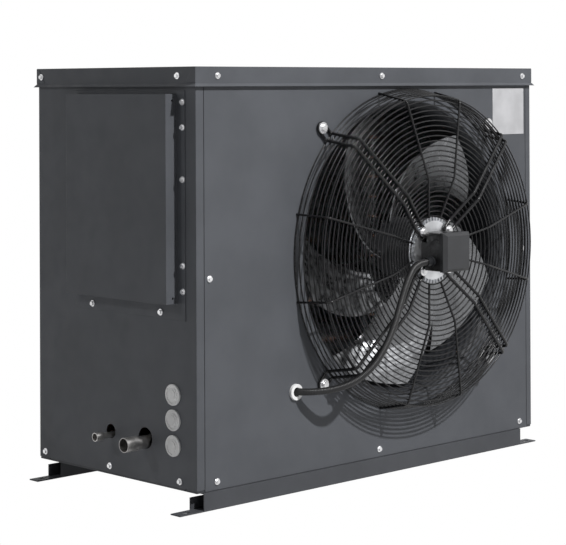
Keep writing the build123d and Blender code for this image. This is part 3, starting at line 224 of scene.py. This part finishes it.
def fin_places():
    """Inner edge, outward direction and run of each fin along the L: back leg, bend, side leg."""
    low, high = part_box("coil_fins")
    x1, y0 = high.x - FIN_DEPTH, high.y - FIN_DEPTH
    bend_x, bend_y = x1 - FIN_BEND, y0 - FIN_BEND
    x = low.x + FIN_PITCH / 2
    while x < bend_x:
        yield Vector((x, y0, 0)), Vector((0, 1, 0)), Vector((1, 0, 0))
        x += FIN_PITCH
    turn = int(math.pi / 2 * (FIN_BEND + FIN_DEPTH / 2) / FIN_PITCH)
    for i in range(turn):
        a = math.pi / 2 * (1 - (i + 0.5) / turn)
        out = Vector((math.cos(a), math.sin(a), 0))
        yield Vector((bend_x, bend_y, 0)) + out * FIN_BEND, out, Vector((out.y, -out.x, 0))
    y = bend_y - FIN_PITCH / 2
    while y > low.y:
        yield Vector((x1, y, 0)), Vector((1, 0, 0)), Vector((0, -1, 0))
        y -= FIN_PITCH


def coil_fins():
    low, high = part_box("coil_fins")
    bm = bmesh.new()
    steps = int((high.z - low.z) / RIPPLE_STEP)
    for inner, out, run in fin_places():
        rows = []
        for k in range(steps + 1):
            at = inner + Vector((0, 0, low.z + (high.z - low.z) * k / steps))
            at += run * (RIPPLE * (1 if k % 2 else -1))
            half = run * (FIN_THICK / 2)
            near, far = out * FIN_INSET, out * (FIN_DEPTH - FIN_INSET)
            corners = (near - half, near + half, far + half, far - half)
            rows.append([bm.verts.new(at + v) for v in corners])
        for a, b in zip(rows, rows[1:]):
            for k in range(4):
                bm.faces.new((a[k], a[(k + 1) % 4], b[(k + 1) % 4], b[k]))
        bm.faces.new(rows[0][::-1])
        bm.faces.new(rows[-1])
    bmesh.ops.recalc_face_normals(bm, faces=bm.faces)
    obj = piece("coil_fin_plates", bm, "fin")
    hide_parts("coil_fins")


coil_fins()

# ---- wire guard: round rings in place of the facetted ones -------------------------------------------
LEFT, FRONT = -0.5325, -0.2545
FAN_FROM_LEFT, FAN_HEIGHT = 0.650, 0.508
FAN = Vector((LEFT + FAN_FROM_LEFT, FRONT, FAN_HEIGHT))
RIM, SHOULDER, CREST, HUB = (0.371, 0.0025), (0.353, 0.082), (0.170, 0.105), (0.078, 0.084)
RING_R, RING_UNDER, RING_STEP, WALL_RINGS = 0.0016, 0.0039, 0.0113, 7
WIRE_SIDES = 10
LARGE_RING_R = 0.2
LARGE_RING_PARTS, SMALL_RING_PARTS = 180, 110


def between(a, b, t):
    return (a[0] + (b[0] - a[0]) * t, a[1] + (b[1] - a[1]) * t)


def ring_places():
    out = []
    for i in range(WALL_RINGS):
        r, h = between(RIM, SHOULDER, i / WALL_RINGS)
        out.append((r - RING_UNDER, h))
    for a, b in ((SHOULDER, CREST), (CREST, HUB)):
        n = round((a[0] - b[0]) / RING_STEP)
        for i in range(n):
            r, h = between(a, b, i / n)
            out.append((r, h - RING_UNDER))
    return out + [(HUB[0], HUB[1] - RING_UNDER)]


def guard_rings():
    bm = bmesh.new()
    for r, h in ring_places():
        around = LARGE_RING_PARTS if r > LARGE_RING_R else SMALL_RING_PARTS
        loops = []
        for i in range(around):
            a = 2 * math.pi * i / around
            loop = []
            for k in range(WIRE_SIDES):
                b = 2 * math.pi * k / WIRE_SIDES
                rr = r + RING_R * math.cos(b)
                out = h + RING_R * math.sin(b)
                loop.append(bm.verts.new(
                    (FAN.x + rr * math.cos(a), FAN.y - out, FAN.z + rr * math.sin(a))
                ))
            loops.append(loop)
        for i in range(around):
            a, b = loops[i], loops[(i + 1) % around]
            for k in range(WIRE_SIDES):
                bm.faces.new((a[k], b[k], b[(k + 1) % WIRE_SIDES], a[(k + 1) % WIRE_SIDES]))
    bmesh.ops.recalc_face_normals(bm, faces=bm.faces)
    obj = piece("guard_round_rings", bm, "wire", smooth=True)
    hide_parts("guard_rings")


guard_rings()

# ---- lid corners: the folded tabs lapped over each end of the side flanges --------------------------
TAB_THICK = 0.0007
TAB_BACK = 0.0002
TAB_TOP, TAB_BOTTOM = 0.9235, 0.8915
TAB_WIDTH_TOP, TAB_WIDTH_BOTTOM = 0.008, 0.031
TAB_INSET = 0.0056


def lid_tabs():
    low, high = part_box("lid")
    bm = bmesh.new()
    outline = [
        (0.0, TAB_TOP), (TAB_WIDTH_TOP, TAB_TOP), (TAB_WIDTH_BOTTOM, TAB_BOTTOM), (0.0, TAB_BOTTOM),
    ]
    for x, out in ((low.x + TAB_INSET, -1), (high.x - TAB_INSET, 1)):
        for y, inward in ((low.y + TAB_INSET, 1), (high.y - TAB_INSET, -1)):
            front = [bm.verts.new((x + out * TAB_THICK, y + inward * u, z)) for u, z in outline]
            back = [bm.verts.new((x - out * TAB_BACK, y + inward * u, z)) for u, z in outline]
            bm.faces.new(front)
            bm.faces.new(back[::-1])
            for k in range(4):
                j = (k + 1) % 4
                bm.faces.new((front[k], back[k], back[j], front[j]))
    bmesh.ops.recalc_face_normals(bm, faces=bm.faces)
    piece("lid_corner_tabs", bm, "panel")


lid_tabs()

# ---- the motor's conduit ----------------------------------------------------------------------------
CONDUIT_R = 0.008
CONDUIT_STEP = 0.0008
CORRUGATION = (0.0, 0.0006, 0.0009, 0.0006)
ROUTE = [
    (-0.055, 0.1125, -0.021),
    (-0.095, 0.1125, -0.021),
    (-0.134, 0.123, -0.052),
    (-0.158, 0.124, -0.098),
    (-0.178, 0.124, -0.147),
    (-0.206, 0.123, -0.194),
    (-0.238, 0.116, -0.236),
    (-0.277, 0.097, -0.268),
    (-0.315, 0.062, -0.286),
    (-0.365, 0.014, -0.290),
    (-0.365, -0.030, -0.290),
]


def route_points():
    return [Vector((FAN.x + x, FAN.y - h, FAN.z + z)) for x, h, z in ROUTE]


def nurbs_line(points):
    """Points read from the smooth curve that has these as its control points."""
    curve = bpy.data.curves.new("route", "CURVE")
    curve.dimensions = "3D"
    spline = curve.splines.new("NURBS")
    spline.points.add(len(points) - 1)
    for p, co in zip(spline.points, points):
        p.co = (*co, 1)
    spline.order_u = 3
    spline.use_endpoint_u = True
    spline.resolution_u = 40
    obj = bpy.data.objects.new("route", curve)
    bpy.context.scene.collection.objects.link(obj)
    mesh = bpy.data.meshes.new_from_object(obj)
    line = [v.co.copy() for v in mesh.vertices]
    bpy.data.objects.remove(obj)
    bpy.data.curves.remove(curve)
    bpy.data.meshes.remove(mesh)
    return line


def resample(line, step):
    out, carry = [line[0].copy()], 0.0
    for a, b in zip(line, line[1:]):
        length = (b - a).length
        at = step - carry
        while at <= length:
            out.append(a.lerp(b, at / length))
            at += step
        carry = length - (at - step)
    return out


def tube_mesh(line, radii, sides=20):
    """A tube along points whose radius changes from ring to ring."""
    bm = bmesh.new()
    side = Vector((0, 0, 1))
    rings = []
    for i, p in enumerate(line):
        tangent = (line[min(i + 1, len(line) - 1)] - line[max(i - 1, 0)]).normalized()
        side = (side - tangent * side.dot(tangent)).normalized()
        other = tangent.cross(side)
        ring = []
        for k in range(sides):
            a = 2 * math.pi * k / sides
            ring.append(bm.verts.new(p + (side * math.cos(a) + other * math.sin(a)) * radii[i]))
        rings.append(ring)
    for a, b in zip(rings, rings[1:]):
        for k in range(sides):
            bm.faces.new((a[k], a[(k + 1) % sides], b[(k + 1) % sides], b[k]))
    bm.faces.new(rings[0][::-1])
    bm.faces.new(rings[-1])
    return bm


def conduit():
    line = nurbs_line(route_points())
    fine = resample(line, CONDUIT_STEP)
    radii = [CONDUIT_R - max(CORRUGATION) + CORRUGATION[i % 4] for i in range(len(fine))]
    obj = piece("motor_conduit", tube_mesh(fine, radii), "tube", smooth=True)
    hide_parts("conduit")
    tuple(fine[0])
    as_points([tuple(p) for p in fine[::4]] + [tuple(fine[-1])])


conduit()


# ---- studio -----------------------------------------------------------------------------------------
def studio_material(name, color):
    """Pale floor that camera, glossy and transmission rays see as white emission, in the share FLOOR_WHITE;
    other rays see its pale diffuse colour.
    """
    m = bpy.data.materials.new(name)
    m.use_nodes = True
    t = m.node_tree
    p = t.nodes["Principled BSDF"]
    p.inputs["Base Color"].default_value = (*color, 1)
    p.inputs["Roughness"].default_value = 0.9
    p.inputs["Specular IOR Level"].default_value = 0.0
    rays = t.nodes.new("ShaderNodeLightPath")
    seen = t.nodes.new("ShaderNodeMath")
    seen.operation = "MAXIMUM"
    both = t.nodes.new("ShaderNodeMath")
    both.operation = "MAXIMUM"
    share = t.nodes.new("ShaderNodeMath")
    share.operation = "MULTIPLY"
    share.inputs[1].default_value = FLOOR_WHITE
    glow = t.nodes.new("ShaderNodeEmission")
    mix = t.nodes.new("ShaderNodeMixShader")
    t.links.new(rays.outputs["Is Camera Ray"], seen.inputs[0])
    t.links.new(rays.outputs["Is Glossy Ray"], seen.inputs[1])
    t.links.new(seen.outputs[0], both.inputs[0])
    t.links.new(rays.outputs["Is Transmission Ray"], both.inputs[1])
    t.links.new(both.outputs[0], share.inputs[0])
    t.links.new(share.outputs[0], mix.inputs[0])
    t.links.new(p.outputs[0], mix.inputs[1])
    t.links.new(glow.outputs[0], mix.inputs[2])
    t.links.new(mix.outputs[0], t.nodes["Material Output"].inputs["Surface"])
    return m


FLOOR_WHITE = 1.0


def floor():
    bm = bmesh.new()
    bmesh.ops.create_grid(bm, x_segments=1, y_segments=1, size=14.0)
    mesh = bpy.data.meshes.new("studio_floor")
    bm.to_mesh(mesh)
    bm.free()
    obj = bpy.data.objects.new("studio_floor", mesh)
    obj.location.z = -0.0005
    bpy.context.scene.collection.objects.link(obj)
    mesh.materials.append(studio_material("floor_pale", (0.62, 0.62, 0.62)))


def world():
    w = bpy.data.worlds.new("studio")
    bpy.context.scene.world = w
    w.use_nodes = True
    t = w.node_tree
    back = t.nodes["Background"]
    out = t.nodes["World Output"]
    rays = t.nodes.new("ShaderNodeLightPath")
    white = t.nodes.new("ShaderNodeBackground")
    white.inputs["Color"].default_value = (1, 1, 1, 1)
    white.inputs["Strength"].default_value = 1.0
    back.inputs["Color"].default_value = (0.95, 0.97, 1.0, 1)
    back.inputs["Strength"].default_value = 0.035
    add1 = t.nodes.new("ShaderNodeMath")
    add1.operation = "MAXIMUM"
    add2 = t.nodes.new("ShaderNodeMath")
    add2.operation = "MAXIMUM"
    t.links.new(rays.outputs["Is Camera Ray"], add1.inputs[0])
    t.links.new(rays.outputs["Is Glossy Ray"], add1.inputs[1])
    t.links.new(add1.outputs[0], add2.inputs[0])
    t.links.new(rays.outputs["Is Transmission Ray"], add2.inputs[1])
    mix = t.nodes.new("ShaderNodeMixShader")
    t.links.new(add2.outputs[0], mix.inputs[0])
    t.links.new(back.outputs[0], mix.inputs[1])
    t.links.new(white.outputs[0], mix.inputs[2])
    t.links.new(mix.outputs[0], out.inputs["Surface"])


def lamp(name, at, target, size, power, color=(1, 1, 1)):
    data = bpy.data.lights.new(name, "AREA")
    data.shape = "DISK"
    data.size = size
    data.energy = power
    data.color = color
    obj = bpy.data.objects.new(name, data)
    obj.location = at
    obj.rotation_euler = (Vector(target) - Vector(at)).to_track_quat("-Z", "Y").to_euler()
    bpy.context.scene.collection.objects.link(obj)


def camera():
    azimuth, elevation, roll = (math.radians(a) for a in (-43.94, -0.22, -0.24))
    back = Vector((
        math.sin(azimuth) * math.cos(elevation), -math.cos(azimuth) * math.cos(elevation), math.sin(elevation)
    ))
    right = Vector((math.cos(azimuth), math.sin(azimuth), 0))
    up = back.cross(right)
    right2 = right * math.cos(roll) + up * math.sin(roll)
    up2 = back.cross(right2)
    data = bpy.data.cameras.new("camera")
    data.sensor_width = 36.0
    data.lens = 119.0
    data.shift_y = -0.34
    obj = bpy.data.objects.new("camera", data)
    rotation = Matrix((right2, up2, back)).transposed().to_4x4()
    obj.matrix_world = Matrix.Translation((-3.091, -3.171, 0.881)) @ rotation
    data.clip_end = 60
    bpy.context.scene.collection.objects.link(obj)
    bpy.context.scene.camera = obj


floor()
world()
lamp("front_top_lamp", (0.1, -5.2, 5.3), (0.1, -0.25, 0.5), 0.22, 490)
lamp("left_lamp", (-4.06, 1.62, 2.8), (-0.5, 0.0, 0.5), 0.18, 21)
camera()
bpy.context.scene.view_settings.view_transform = "Standard"
